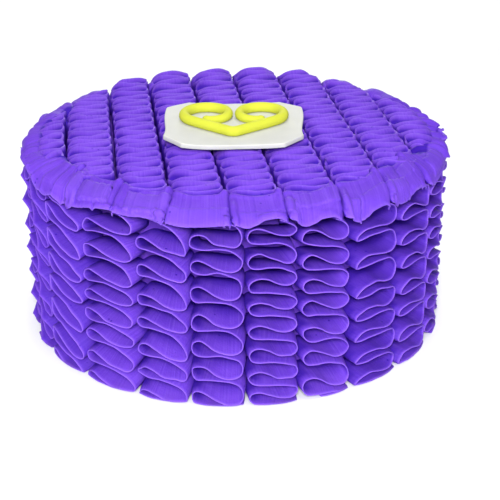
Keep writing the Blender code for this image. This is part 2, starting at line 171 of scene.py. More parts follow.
# A rim fold's section from its lower edge over the crest to its foot, as radius and height: in
# front, where the last pass of a row slides down over the rim, and at the back, where it stands.
# Heights of the first two points count from the lower edge.
FRONT_FOLD = ((118.0, 0.0), (117.0, 1.9), (114.4, 103.2), (110.4, 104.8), (106.2, 106.0),
              (103.0, 107.1), (100.8, 108.2), (99.8, 107.0), (99.3, 103.5), (98.8, 97.0))
BACK_FOLD = ((117.0, 0.0), (116.7, 1.0), (115.2, 103.2), (113.2, 104.8), (110.6, 105.8),
             (107.6, 106.0), (105.0, 105.2), (103.0, 103.6), (101.0, 101.5), (98.8, 97.0))
REAR_LIFT = 1.2 * MM
REAR_DOME = 4.5 * MM
REAR_FROM = math.radians(108.0)
REAR_TO = math.radians(140.0)
FOLD_STEP = 0.48 * MM
LEAST_PLEATED_WIDTH = 40.0 * MM
PLEAT_WIDTH = 11.0 * MM
PLEAT_DEPTH = 6.5 * MM
PLEAT_SHARPNESS = 0.95
FRONT_FOLDS_END = math.radians(70.0)
FRONT_FOLDS_BLEND = math.radians(12.0)
FRONT_FOLD_PLACES = 58
OTHER_FOLD_PLACES = 34
# How a fold's lower edge rises and falls in mm from its left end to its right end: as an S that
# turns into the lobe below, or nearly straight
S_EDGE = ((-1.0, 1.5), (-0.75, -1.5), (-0.45, -3.0), (-0.1, -1.4), (0.25, 1.2),
          (0.55, 1.6), (0.8, 0.2), (0.93, -1.6), (1.0, -2.6))
FLAT_FOLD_EDGE = ((-1.0, 0.4), (-0.8, -0.8), (-0.4, -1.0), (0.0, -0.8), (0.4, -0.8), (0.8, -0.4), (1.0, 0.6))
# For the nine front folds: share of the S, and size of the tears at the lower edge in mm
FRONT_FOLD_STYLES = ((0.6, 0.2), (0.2, 0.5), (0.25, 0.5), (0.1, 0.2), (0.9, 0.3), (1.0, 0.2), (1.0, 0.3),
                     (0.7, 0.8), (0.5, 0.5))
# Plates of icing smeared on the folds in front: from and to across, from and to upwards from the
# lower edge, and height in mm
FOLD_PLATES = {1: ((-0.98, -0.55, 0.0, 0.60, 1.3), (-0.42, 0.78, 0.10, 0.50, 1.1)),
               2: ((-0.55, 0.95, 0.05, 0.50, 1.0), (0.55, 0.92, 0.0, 0.14, 0.5)),
               3: ((-0.97, 0.90, -0.1, 0.30, 0.8),),
               4: ((-0.9, 0.9, -0.1, 0.24, 0.4),),
               5: ((-0.7, 0.95, 0.27, 0.60, 0.5), (-0.95, -0.6, -0.1, 0.45, 0.9)),
               6: ((-0.9, -0.35, -0.1, 0.32, 0.9), (-0.3, 0.9, -0.1, 0.36, 0.4)),
               7: ((-0.95, -0.1, 0.0, 0.36, 0.9), (-0.2, 0.7, 0.30, 0.55, 0.5)),
               8: ((-0.4, 0.6, 0.1, 0.45, 0.7),)}
# Painted highlight on the raised plates, strongest along their borders
PLATE_HIGHLIGHT = 0.25
# Folds that are laid in upright flaps, each over the one to its right, and how many
FOLD_FLAPS = {0: 3, 20: 3, 21: 4}
FLAP_RISE = 2.6
FLAP_DROP = 2.2 * MM
# Painted shade just before the start of each next flap
FLAP_SHADE = 0.75
FOLD_LIP = 1.5
# Painted shade over all rim folds, deeper on the right side of the cake
FOLD_SHADE = 0.12
RIGHT_FOLD_SHADE = 0.12
# Torn tips at the lower edges in front: place across, half width and drop in mm
FOLD_TEARS = {0: ((0.80, 0.14, 1.6),),
              1: ((-0.80, 0.16, 2.4), (0.30, 0.12, 1.2)),
              2: ((0.88, 0.07, 2.6), (0.70, 0.05, 1.4), (-0.90, 0.08, 2.2)),
              3: ((-0.95, 0.05, 2.0), (0.93, 0.06, 2.4), (0.80, 0.04, 1.6)),
              4: ((-0.90, 0.06, 1.6),),
              6: ((-0.40, 0.06, 1.2), (0.92, 0.05, 1.6)),
              7: ((-0.15, 0.08, 1.6), (-0.85, 0.06, 2.0), (0.60, 0.05, 1.5))}

# The plaque and the rope heart
PLAQUE_WIDTH = 76.0 * MM
PLAQUE_DEPTH = 70.0 * MM
PLAQUE_THICKNESS = 2.6 * MM
PLAQUE_CORNER = 11.5 * MM
PLAQUE_SAG = 2.4 * MM
PLAQUE_BOW = 2.6 * MM
PLAQUE_WAVE = 0.9 * MM
PLAQUE_PLACE = (-0.6 * MM, -1.0 * MM)
ROPE_RADIUS = 2.9 * MM
ROPE_END_SHARE = 0.72
HEART_TIP = -22.5 * MM
HEART_TIP_RADIUS = 4.0 * MM
HEART_TIP_TURN = math.radians(40.0)
HEART_LOBE = (14.0 * MM, 5.5 * MM)
HEART_LOBE_RADIUS = 13.5 * MM
HEART_CURL_RADIUS = 4.5 * MM
HEART_CURL_EASE = 2.6
HEART_LOBE_START = math.radians(-38.0)
HEART_LOBE_END = math.radians(300.0)
HEART_SIDE_PULL = 16.0 * MM

# The camera: where it looks, from how far, how far down, and its small roll
CAMERA_TARGET = (7.94 * MM, -0.84 * MM, 33.26 * MM)
CAMERA_DISTANCE = 694.2 * MM
CAMERA_PITCH = math.radians(24.948)
CAMERA_ROLL = math.radians(-0.314)
CAMERA_LENS = 86.4
SENSOR_WIDTH = 36.0

# Colours as linear RGB
VIOLET = (0.150, 0.054, 0.540)
VIOLET_DEEP = (0.115, 0.038, 0.465)
# Painted highlight on thin edges, streak ridges, plates and top bands; at thin edges partly drier icing
VIOLET_DRY_EDGE_AND_HIGHLIGHT = (0.222, 0.106, 0.660)
# Painted shade in pits, streak grooves, gaps between passes, loops and folds
VIOLET_PAINTED_SHADE = (0.040, 0.010, 0.310)
IVORY = (0.55, 0.555, 0.53)
LEMON = (0.53, 0.56, 0.048)
FLOOR = (0.90, 0.90, 0.91)
WORLD_STRENGTH = 0.58
SIDE_DIMNESS = 0.75
EDGE_HIGHLIGHT_MIX = 0.70
STREAK_HIGHLIGHT_AND_SHADE = 0.4
BUBBLE_SCALE = 240.0


# Materials

def new_material(name):
    material = bpy.data.materials.new(name)
    material.use_nodes = True
    nodes = material.node_tree.nodes
    nodes.clear()
    output = nodes.new("ShaderNodeOutputMaterial")
    shader = nodes.new("ShaderNodeBsdfPrincipled")
    material.node_tree.links.new(shader.outputs["BSDF"], output.inputs["Surface"])
    return material, shader


def node(material, kind, **inputs):
    made = material.node_tree.nodes.new(kind)
    for name, value in inputs.items():
        made.inputs[name.replace("_", " ")].default_value = value
    return made


def link(material, source, target):
    material.node_tree.links.new(source, target)


def mix_colour(material, factor, first, second, blend="MIX"):
    """A colour mix: factor and colours are sockets or plain values."""
    mix = material.node_tree.nodes.new("ShaderNodeMix")
    mix.data_type = "RGBA"
    mix.blend_type = blend
    for socket, value in zip((mix.inputs[0], mix.inputs[6], mix.inputs[7]), (factor, first, second)):
        if isinstance(value, bpy.types.NodeSocket):
            link(material, value, socket)
        elif isinstance(value, tuple):
            socket.default_value = (*value, 1.0)
        else:
            socket.default_value = value
    return mix.outputs[2]


def ramp(material, source, low, high):
    """Maps a value's range from low..high to 0..1, and clamps it."""
    made = material.node_tree.nodes.new("ShaderNodeMapRange")
    made.inputs["From Min"].default_value = low
    made.inputs["From Max"].default_value = high
    link(material, source, made.inputs["Value"])
    return made.outputs["Result"]


def combine(material, operation, first, second):
    made = material.node_tree.nodes.new("ShaderNodeMath")
    made.operation = operation
    for socket, value in zip(made.inputs, (first, second)):
        if isinstance(value, bpy.types.NodeSocket):
            link(material, value, socket)
        else:
            socket.default_value = value
    return made.outputs["Value"]


def noise(material, vector, scale, detail=2.0, roughness=0.5):
    made = node(material, "ShaderNodeTexNoise", Scale=scale, Detail=detail, Roughness=roughness)
    link(material, vector, made.inputs["Vector"])
    return made.outputs["Fac"]


def buttercream(name, has_ribbon):
    """Smooth violet icing: faint clouds of colour, and small dented pits with painted shade. On
    ribbons, attributes paint a highlight on the thin edge (partly paler, drier icing), on plates and
    on the top rows' bands, and paint shade in gaps, loops and folds; streaks run from the edge to the
    root, with painted highlight on their ridges and painted shade in their grooves."""
    material, shader = new_material(name)
    place = material.node_tree.nodes.new("ShaderNodeTexCoord")
    clouds = noise(material, place.outputs["Object"], 60.0)
    colour = mix_colour(material, ramp(material, clouds, 0.3, 0.7), VIOLET_DEEP, VIOLET)
    grain = noise(material, place.outputs["Object"], 900.0, 3.0, 0.6)
    bubbles = node(material, "ShaderNodeTexVoronoi", Scale=BUBBLE_SCALE)
    link(material, place.outputs["Object"], bubbles.inputs["Vector"])
    few = ramp(material, noise(material, place.outputs["Object"], BUBBLE_SCALE * 0.4), 0.56, 0.60)
    pit = combine(material, "MULTIPLY", ramp(material, bubbles.outputs["Distance"], 0.17, 0.09), few)
    # Painted shade in the small pits, which are also dents in the bump
    colour = mix_colour(material, pit, colour, VIOLET_PAINTED_SHADE)
    height = combine(material, "SUBTRACT", grain, pit)
    if has_ribbon:
        # The streaks are grooves in the bump, painted light on their ridges and painted shade in their
        # grooves
        stretch = node(material, "ShaderNodeMapping", Scale=(1.0, 0.04, 1.0))
        link(material, place.outputs["UV"], stretch.inputs["Vector"])
        streaks = noise(material, stretch.outputs["Vector"], 9.0, 3.0, 0.6)
        pale_highlight = combine(material, "MULTIPLY", ramp(material, streaks, 0.50, 0.78), STREAK_HIGHLIGHT_AND_SHADE)
        colour = mix_colour(material, pale_highlight, colour, VIOLET_DRY_EDGE_AND_HIGHLIGHT)
        painted_groove_shade = combine(material, "MULTIPLY", ramp(material, streaks, 0.46, 0.24), STREAK_HIGHLIGHT_AND_SHADE)
        colour = mix_colour(material, painted_groove_shade, colour, VIOLET_PAINTED_SHADE)
        # Painted highlight from the ribbons' edge attribute: thin edges, partly drier icing, plates and top
        # bands
        edge = material.node_tree.nodes.new("ShaderNodeAttribute")
        edge.attribute_name = "edge"
        pale_highlight = combine(material, "MULTIPLY", edge.outputs["Fac"], EDGE_HIGHLIGHT_MIX)
        colour = mix_colour(material, pale_highlight, colour, VIOLET_DRY_EDGE_AND_HIGHLIGHT)
        # Painted shade from the ribbons' shade attribute
        painted_shade = material.node_tree.nodes.new("ShaderNodeAttribute")
        painted_shade.attribute_name = "painted_shade"
        colour = mix_colour(material, painted_shade.outputs["Fac"], colour, VIOLET_PAINTED_SHADE)
        height = combine(material, "ADD", height, streaks)
    link(material, colour, shader.inputs["Base Color"])
    bump = node(material, "ShaderNodeBump", Strength=0.35, Distance=0.0006)
    link(material, height, bump.inputs["Height"])
    link(material, bump.outputs["Normal"], shader.inputs["Normal"])
    shader.inputs["Roughness"].default_value = 0.55
    shader.inputs["Specular IOR Level"].default_value = 0.06
    shader.inputs["Subsurface Weight"].default_value = 0.25
    shader.inputs["Subsurface Radius"].default_value = (0.6, 0.3, 1.0)
    shader.inputs["Subsurface Scale"].default_value = 0.003
    return material


def fondant(name, colour, deep, subsurface):
    """Rolled sugar paste: matte, with a fine powdery grain and faint clouds."""
    material, shader = new_material(name)
    place = material.node_tree.nodes.new("ShaderNodeTexCoord")
    clouds = noise(material, place.outputs["Object"], 90.0)
    mixed = mix_colour(material, ramp(material, clouds, 0.3, 0.7), deep, colour)
    link(material, mixed, shader.inputs["Base Color"])
    grain = noise(material, place.outputs["Object"], 700.0, 4.0, 0.6)
    bump = node(material, "ShaderNodeBump", Strength=0.15, Distance=0.0004)
    link(material, grain, bump.inputs["Height"])
    link(material, bump.outputs["Normal"], shader.inputs["Normal"])
    shader.inputs["Roughness"].default_value = 0.7
    shader.inputs["Specular IOR Level"].default_value = 0.1
    shader.inputs["Subsurface Weight"].default_value = subsurface
    shader.inputs["Subsurface Radius"].default_value = (1.0, 0.9, 0.6)
    shader.inputs["Subsurface Scale"].default_value = 0.002
    return material


# Meshes

def mesh_piece(name, points, faces, material, shades=None, uv=None):
    """A smooth mesh object from arrays: shades names values for each point, uv is a pair for each."""
    mesh = bpy.data.meshes.new(name)
    mesh.vertices.add(len(points))
    mesh.vertices.foreach_set("co", np.ascontiguousarray(points, dtype=np.float32).ravel())
    quads = np.ascontiguousarray(faces, dtype=np.int32)
    mesh.loops.add(quads.size)
    mesh.loops.foreach_set("vertex_index", quads.ravel())
    mesh.polygons.add(len(quads))
    mesh.polygons.foreach_set("loop_start", np.arange(0, quads.size, quads.shape[1], dtype=np.int32))
    mesh.update(calc_edges=True)
    mesh.validate()
    if uv is not None:
        layer = mesh.uv_layers.new(name="along")
        layer.data.foreach_set("uv", np.ascontiguousarray(uv[quads.ravel()], dtype=np.float32).ravel())
    for shade, numbers in (shades or {}).items():
        values = mesh.attributes.new(shade, "FLOAT", "POINT")
        values.data.foreach_set("value", np.ascontiguousarray(numbers, dtype=np.float32))
    mesh.polygons.foreach_set("use_smooth", np.ones(len(mesh.polygons), dtype=bool))
    mesh.materials.append(material)
    item = bpy.data.objects.new(name, mesh)
    bpy.context.scene.collection.objects.link(item)
    return item


def stand_for(item, node_name):
    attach(item, "root")
    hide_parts(node_name)


def smooth_route(keys, steps=12):
    """A smooth curve through key points (rows of an array), by centripetal tangents."""
    keys = np.asarray(keys, dtype=float)
    gaps = np.linalg.norm(np.diff(keys, axis=0), axis=1) ** 0.5
    gaps = np.maximum(gaps, 1e-6)
    slopes = np.diff(keys, axis=0) / gaps[:, None]
    tangents = np.empty_like(keys)
    tangents[0], tangents[-1] = slopes[0], slopes[-1]
    weights = gaps[1:, None] / (gaps[:-1] + gaps[1:])[:, None]
    tangents[1:-1] = slopes[:-1] * weights + slopes[1:] * (1.0 - weights)
    share = np.linspace(0.0, 1.0, steps, endpoint=False)[None, :, None]
    start, end = keys[:-1, None, :], keys[1:, None, :]
    leave = tangents[:-1, None, :] * gaps[:, None, None]
    arrive = tangents[1:, None, :] * gaps[:, None, None]
    curve = ((2 * share ** 3 - 3 * share ** 2 + 1) * start + (share ** 3 - 2 * share ** 2 + share) * leave
             + (3 * share ** 2 - 2 * share ** 3) * end + (share ** 3 - share ** 2) * arrive)
    return np.vstack([curve.reshape(-1, keys.shape[1]), keys[-1:]])


def evenly(route, lengths, count):
    """The route's points at even distances, for cumulative lengths along it."""
    places = np.linspace(0.0, lengths[-1], count)
    return np.stack([np.interp(places, lengths, route[:, axis]) for axis in range(route.shape[1])], axis=1)


def fade(values, low, high):
    """0 below low, 1 above high and a soft step between them."""
    share = np.clip((values - low) / (high - low), 0.0, 1.0)
    return share * share * (3.0 - 2.0 * share)


def unit(vectors):
    return vectors / np.maximum(np.linalg.norm(vectors, axis=-1, keepdims=True), 1e-12)


def ribbon(name, middle, thickness, places, painted_shade, along, material, floor=None, pale_highlight=None, highlight_share=1.0):
    """A closed ribbon round a middle surface, an array of sections by places from edge (0) to
    root (1). Its edge is round. Thickness and painted shade hold a value for each place. The edge is
    painted light, a highlight and partly paler, drier icing, and the highlight argument paints more
    places as light as the edge."""
    across = np.gradient(middle, axis=0)
    inward = np.gradient(middle, axis=1)
    normal = unit(np.cross(across, inward))
    half = thickness[None, :, None] / 2.0
    upper = middle + normal * half
    lower = middle - normal * half
    tip = middle[:, :1] - unit(inward[:, :1]) * thickness[0] * 0.45
    ring = np.concatenate([upper[:, ::-1], tip, lower], axis=1)
    if floor is not None:
        ring[..., 2] = np.maximum(ring[..., 2], floor)
    sections, around, _ = ring.shape
    # The thin edge is painted light: a highlight, and partly paler, drier icing
    edge_highlight_here = np.interp(places, (0.0, 0.03, 0.06), (1.0, 0.4, 0.0))
    edge = np.concatenate([edge_highlight_here[::-1], [1.0], edge_highlight_here])
    inward_here = np.concatenate([places[::-1], [0.0], places])
    index = np.arange(sections * around).reshape(sections, around)
    low, high = index[:-1], index[1:]
    following = np.roll(np.arange(around), -1)
    faces = np.stack([low, high, high[:, following], low[:, following]], axis=-1).reshape(-1, 4)
    caps = []
    for row, flip in ((index[0], False), (index[-1], True)):
        for step in range(around // 2 - 1):
            quad = [row[step], row[step + 1], row[around - 2 - step], row[around - 1 - step]]
            caps.append(quad[::-1] if flip else quad)
    faces = np.vstack([faces, np.array(caps)])
    uv = np.stack([np.repeat(along / (10.0 * MM), around), np.tile(inward_here, sections)], axis=1)
    painted_shade = np.broadcast_to(painted_shade, (sections, len(places)))
    painted_shade = np.concatenate([painted_shade[:, ::-1], painted_shade[:, :1], painted_shade], axis=1)
    edge = np.tile(edge * highlight_share, (sections, 1))
    if pale_highlight is not None:
        edge = np.maximum(edge, np.concatenate([pale_highlight[:, ::-1], pale_highlight[:, :1], pale_highlight], axis=1))
    shades = {"edge": edge.ravel(), "painted_shade": painted_shade.ravel()}
    return mesh_piece(name, ring.reshape(-1, 3), faces, material, shades, uv)


# Side columns

def rim_level(angle):
    """Height of the lower edge of the rim folds at an azimuth."""
    wave = sum(share * np.sin(count * angle + phase) for count, share, phase in RIM_WAVES)
    return FOLD_FOOT + FOLD_FOOT_WAVE * wave


def fold_edge_level(angle):
    """Height of the thin sheets' lower edges, a little above the solids' feet."""
    nearness = np.exp(-((angle - HIGH_FOLDS_AT) / HIGH_FOLDS_REACH) ** 2)
    turned = np.abs(np.mod(angle + math.pi, 2.0 * math.pi) - math.pi)
    beside = fade(turned, FRONT_FOLDS_END - FRONT_FOLDS_BLEND, FRONT_FOLDS_END)
    level = rim_level(angle) + FOLD_LIFT + HIGH_FOLD_LIFT * nearness
    return np.where(beside > 0.0, np.minimum(level + SIDE_FOLD_LIFT * beside, FOLD_EDGE_HIGHEST), level)


def around(angle, radius, height):
    return np.stack([radius * np.sin(angle), -radius * np.cos(angle), height], axis=-1)


def seam_angles():
    shown = list(FRONT_SEAMS)
    hidden = COLUMN_COUNT - (len(shown) - 1)
    gap_angle = (shown[0] + 360.0 - shown[-1]) / hidden
    return shown + [shown[-1] + gap_angle * step for step in range(1, hidden + 1)]


def lean_seam(seam, share):
    angle = math.radians(seam)
    return angle + math.radians(SEAM_LEAN) * (0.5 - share) * math.sin(angle)


def crown(u):
    return 1.0 - CROWN_FALL * np.abs(u) ** 3


def side_keys(style, periods, open_top, chance):
    """Edge and root points of a whole column, from its foot up, with each period a little different.
    An open top ends above the right turn, under the arch of a rim fold's edge."""
    edges = np.array([ROUND_EDGE, EVEN_EDGE, FLAT_EDGE, HOOK_EDGE, PINCH_EDGE])
    roots = np.array([SIDE_ROOT, SIDE_ROOT, SIDE_ROOT, HOOK_ROOT, PINCH_ROOT])
    count = int(math.ceil(periods)) + 2
    heights = 1.0 + np.clip(chance.normal(0.0, UNEVEN_PERIOD, count), -0.2, 0.2)
    starts = np.concatenate([[0.0], np.cumsum(heights)]) - heights[0]
    starts *= (periods + 1.0) / starts[-1]
    edge_keys, root_keys = [], []
    for period in range(count):
        weights = np.array(style) + np.abs(chance.normal(0.0, 0.16, 5)) * (1.0, 1.0, 1.0, 0.3, 0.2)
        weights /= weights.sum()
        edge = np.tensordot(weights, edges, axes=1)
        edge = edge + chance.normal(0.0, 0.018, edge.shape)
        root = np.tensordot(weights, roots, axes=1) + chance.normal(0.0, 0.01, edge.shape)
        for keys, made, rise in ((edge_keys, edge, 0.0), (root_keys, root, SIDE_ROOT_RISE)):
            made[:, 1] = starts[period] + (made[:, 1] + rise) * (starts[period + 1] - starts[period])
            keys.append(made)
    edge_keys = np.vstack(edge_keys)
    root_keys = np.vstack(root_keys)
    first = len(ROUND_EDGE) - 4
    last = len(edge_keys) - len(ROUND_EDGE) + 2
    if open_top:
        first = 3
        last = len(edge_keys) - len(ROUND_EDGE) - 3
        shift = periods - edge_keys[last - 1, 1]
        edge_keys[:, 1] += shift
        root_keys[:, 1] += shift
    return edge_keys[first:last], root_keys[first:last]


def build_side_column(index, seams, material):
    chance = np.random.default_rng(400 + index)
    if index < len(FRONT_SIDE_STYLES):
        style, periods = FRONT_SIDE_STYLES[index], FRONT_SIDE_PERIODS[index]
    else:
        style, periods = tuple(chance.dirichlet(HIDDEN_SIDE_STYLES)), SIDE_PERIODS
        if index >= COLUMN_COUNT - 2:
            style = LEFT_SIDE_STYLE
    open_top = index >= FIRST_OPEN_TOP
    edge_keys, root_keys = side_keys(style, periods, open_top, chance)
    for keys in (edge_keys, root_keys):
        keys[:, 1] *= SIDE_PERIODS / periods
    half_width = math.radians(seams[index + 1] - seams[index]) / 2.0 * RUFFLE_RADIUS
    period = SIDE_BACK_TOP / SIDE_PERIODS
    scale = np.array((half_width, period))
    route = smooth_route(np.hstack([edge_keys * scale, root_keys * scale]))
    lengths = np.concatenate([[0.0], np.cumsum(np.linalg.norm(np.diff(route[:, :2], axis=0), axis=1))])
    count = int(lengths[-1] / SECTION_STEP)
    route = evenly(route, lengths, count) / np.tile(scale, 2)
    edge_u, edge_v, root_u, root_v = route.T
    edge_v = np.clip(edge_v, 0.03, SIDE_PERIODS)
    root_v = np.clip(root_v, 0.06, SIDE_PERIODS)
    edge_u = edge_u * SIDE_EDGE_WIDTH
    root_u = root_u * SIDE_ROOT_WIDTH

    places = np.array(INWARD)
    ease = places ** 0.9
    u = edge_u[:, None] * (1.0 - ease) + root_u[:, None] * ease
    u = u + SIDE_BARREL * np.sin(math.pi * places) * edge_u[:, None] ** 3
    v = edge_v[:, None] * (1.0 - ease) + root_v[:, None] * ease
    ragged = smooth_noise(chance, count, 3.0) * 0.010 + smooth_noise(chance, count, 14.0) * 0.02
    edge_h = crown(edge_u) * (1.0 - np.abs(ragged))
    spiked = index >= COLUMN_COUNT - SPIKED_COLUMNS
    if spiked:
        fall = SPIKE_FALL * np.abs(np.sin(math.pi * (edge_v - SPIKE_AT))) ** 0.8
        edge_h *= 1.0 + SPIKE_RISE - fall
    root_h = (ROOT_RADIUS - SIDE_BACK_RADIUS) / (RUFFLE_RADIUS - SIDE_BACK_RADIUS)
    h = edge_h[:, None] * (1.0 - places) + root_h * places
    share = v / SIDE_PERIODS
    low = lean_seam(seams[index], share)
    high = lean_seam(seams[index + 1], share)
    angle = (low + high) / 2.0 + u * (high - low) / 2.0
    top = SIDE_BACK_TOP + h * (fold_edge_level(angle) - SIDE_BACK_TOP)
    radius = SIDE_BACK_RADIUS + h * (RUFFLE_RADIUS - SIDE_BACK_RADIUS)
    middle = around(angle, radius, GAP + share * (top - GAP))
    thickness = EDGE_THICKNESS + (ROOT_THICKNESS - EDGE_THICKNESS) * places ** 0.8
    name = f"piped_side_{index + 1:02d}"
    # Painted shade: in the left loops, deepening inward, and over columns with sharp turns
    pocket_shade = fade(-edge_u / SIDE_EDGE_WIDTH, 0.4, 0.8)[:, None] * fade(places, 0.06, 0.3)[None]
    sharp = style[3] + style[4]
    inside = fade(places, 0.22 - 0.15 * sharp, 0.85 - 0.25 * sharp)
    painted_shade = SIDE_SHADE * np.maximum(inside[None], pocket_shade)
    painted_shade = np.maximum(painted_shade, (SHARP_SHADE * sharp * fade(places, 0.0, 0.06))[None])
    along = np.linspace(0.0, lengths[-1], count)
    # Spiked columns get less painted highlight on their edges
    highlight_share = SPIKED_EDGE_HIGHLIGHT if spiked else 1.0
    item = ribbon(name, middle, thickness, places, painted_shade, along, material, 0.2 * MM, highlight_share=highlight_share)
    stand_for(item, f"side_ruffle_{index + 1:02d}")
    return item


def smooth_noise(chance, count, spacing):
    """A row of values between -1 and 1 that wander, with a new draw every so many points."""
    draws = chance.uniform(-1.0, 1.0, int(count / spacing) + 3)
    return np.interp(np.arange(count) / spacing, np.arange(len(draws)), draws)


# Top rows

def row_ends(seam_low, seam_high):
    """Where a row's passes start in front, behind the rim folds, and where they end at the back."""
    nearer = min(abs(seam_low), abs(seam_high))
    if seam_low < 0.0 < seam_high:
        nearer = 0.0
    edge = nearer + ROW_LEAST_WIDTH
    front = math.sqrt(ROW_END_RADIUS ** 2 - edge ** 2) - ROW_INSET
    edge = max(edge, ROW_BACK_WIDTH)
    back = math.sqrt(ROW_OUTSIDE ** 2 - edge ** 2) - ROW_BACK_INSET
    return -max(front, OUTER_ROW_FRONTS[0 if seam_low < 0.0 else 1]), back


def build_top_row(index, material):
    chance = np.random.default_rng(600 + index)
    seam_low, seam_high = (seam * MM for seam in ROW_SEAMS[index:index + 2])
    front, back = row_ends(seam_low, seam_high)
    periods = int(round((back - front) / ROW_PERIOD))
    shape = np.array(TOP_EDGE)
    keys = []
    for period in range(periods):
        edge = shape + chance.normal(0.0, 0.022, shape.shape)
        edge[:, 1] += chance.normal(0.0, 0.05) + period
        keys.append(edge)
    half_width = (seam_high - seam_low) / 2.0
    length = (back - front) / periods
    scale = np.array((half_width, length))
    route = smooth_route(np.vstack(keys) * scale)
    lengths = np.concatenate([[0.0], np.cumsum(np.linalg.norm(np.diff(route, axis=0), axis=1))])
    count = int(lengths[-1] / SECTION_STEP)
    edge_u, edge_v = (evenly(route, lengths, count) / scale).T
    bow = TOP_BOW + 0.05 * smooth_noise(chance, count, 20.0)
    edge_v = edge_v + bow * np.abs(edge_u) ** 1.8

    lean = smooth_route(TOP_LEAN, 2) * MM
    steps = np.concatenate([[0.0], np.cumsum(np.linalg.norm(np.diff(lean, axis=0), axis=1))])
    places = steps / steps[-1]
    dome = np.where(edge_u < 0.0, DOME_LEFT, DOME_RIGHT) * np.abs(edge_u) ** 3.4
    ragged = smooth_noise(chance, count, 3.0) * 0.15 * MM + smooth_noise(chance, count, 16.0) * 0.5 * MM
    tip = TOP_TIP * np.exp(-((edge_u - 0.92) / 0.12) ** 2)
    aside = np.abs((seam_low + seam_high) / 2.0 + edge_u * half_width)
    outward = np.hypot(front + length * edge_v, aside)
    beside = 0.12 + 0.88 * fade(aside / outward, 0.62, 0.92)
    droop = np.clip((outward - ROW_OUTSIDE + ROW_END_SOFTNESS) / ROW_END_SOFTNESS, 0.0, 1.0) ** 2
    rear = fade(front + length * edge_v, 70.0 * MM, 100.0 * MM)
    lift = rear * (ROW_REAR_LIFT - ROW_REAR_DOME * edge_u ** 2)
    edge_z = RUFFLE_TOP - dome - np.abs(ragged) + tip - droop * beside * ROW_END_DROOP + lift
    z = edge_z[:, None] - lean[:, 1] * ((edge_z - ROOT_LEVEL) / lean[-1, 1])[:, None]
    u = edge_u[:, None] * (TOP_EDGE_WIDTH - 0.03 * places)
    lying = FIRST_PASS_LEAN + (1.0 - FIRST_PASS_LEAN) * fade(edge_v, 0.3, 0.8)
    v = edge_v[:, None] - lean[:, 0] * lying[:, None] / length
    along = front + length * v
    chord = np.sqrt(np.maximum(ROW_OUTSIDE ** 2 - along ** 2, 0.0))
    low = np.maximum(seam_low, -chord)
    high = np.minimum(seam_high, chord)
    across = (low + high) / 2.0 + u * (high - low) / 2.0
    x = across * math.cos(ROW_TURN) - along * math.sin(ROW_TURN)
    y = across * math.sin(ROW_TURN) + along * math.cos(ROW_TURN)
    middle = np.stack([x, y, z], axis=-1)
    thickness = TOP_EDGE_THICKNESS + (ROOT_THICKNESS - TOP_EDGE_THICKNESS) * places ** 0.7
    name = f"piped_top_{index + 1:02d}"
    # Painted shade in the open gaps between passes, and below the first pass in front
    later = fade(edge_v, 0.3, 0.6)
    beside = fade(np.abs(edge_u), 0.35, 0.85)[:, None]
    gap_shade = (MIDDLE_SHADE + (1.0 - MIDDLE_SHADE) * beside) * fade(places[None] + 0.04 * beside, 0.16, 0.31)
    painted_shade = TOP_SHADE * np.maximum(gap_shade, (1.0 - later)[:, None] * fade(places, 0.03, 0.30)[None])
    if index in (0, len(ROW_SEAMS) - 2):
        painted_shade *= OUTER_FIRST_PASS_SHADE + (1.0 - OUTER_FIRST_PASS_SHADE) * later[:, None]
    along = np.linspace(0.0, lengths[-1], count)
    # Painted highlight in a band just below the edges
    pale_highlight = np.tile(TOP_BAND_HIGHLIGHT * (1.0 - fade(places, 0.02, 0.18)), (count, 1))
    item = ribbon(name, middle, thickness, places, painted_shade, along, material, pale_highlight=pale_highlight,
                  highlight_share=TOP_EDGE_HIGHLIGHT)
    stand_for(item, f"top_ruffle_{index + 1:02d}")
    return item


# Rim folds

def rim_fold_seams():
    inner = [math.asin(seam * MM / RUFFLE_RADIUS) for seam in ROW_SEAMS[1:-1]]
    first = inner[0] - OUTER_FOLD_ANGLE
    last = inner[-1] + OUTER_FOLD_ANGLE
    front = [first, *inner, last]
    back = [math.pi - angle for angle in reversed(front)]
    right = spread(front[-1], back[0], SIDE_FOLDS)
    left = spread(back[-1], front[0] + 2.0 * math.pi, SIDE_FOLDS)
    return [angle + ROW_TURN for angle in front + right + back + left + [front[0] + 2.0 * math.pi]]


def spread(start, end, count):
    return [start + (end - start) * step / count for step in range(1, count)]


def crest_seams():
    """Azimuths of the fold seams along the crest, where they are drawn towards the rows' gaps."""
    feet = rim_fold_seams()
    crests = list(feet)
    inner = ROW_SEAMS[1:-1]
    last_front = len(inner)
    first_back = last_front + 1 + SIDE_FOLDS
    for place, seam in enumerate(inner):
        for at, side in ((1 + place, -1.0), (first_back + len(inner) - place, 1.0)):
            across, along = seam * MM, side * math.sqrt(CREST_RADIUS ** 2 - (seam * MM) ** 2)
            x = across * math.cos(ROW_TURN) - along * math.sin(ROW_TURN)
            y = across * math.sin(ROW_TURN) + along * math.cos(ROW_TURN)
            shift = math.remainder(math.atan2(x, -y) - feet[at], 2.0 * math.pi)
            crests[at] = feet[at] + max(-MOST_CREST_SHIFT, min(MOST_CREST_SHIFT, shift))
    return crests


def drift(angle):
    return angle - FOLD_DRIFT * math.exp(-((angle - FOLD_DRIFT_AT) / FOLD_DRIFT_REACH) ** 2)


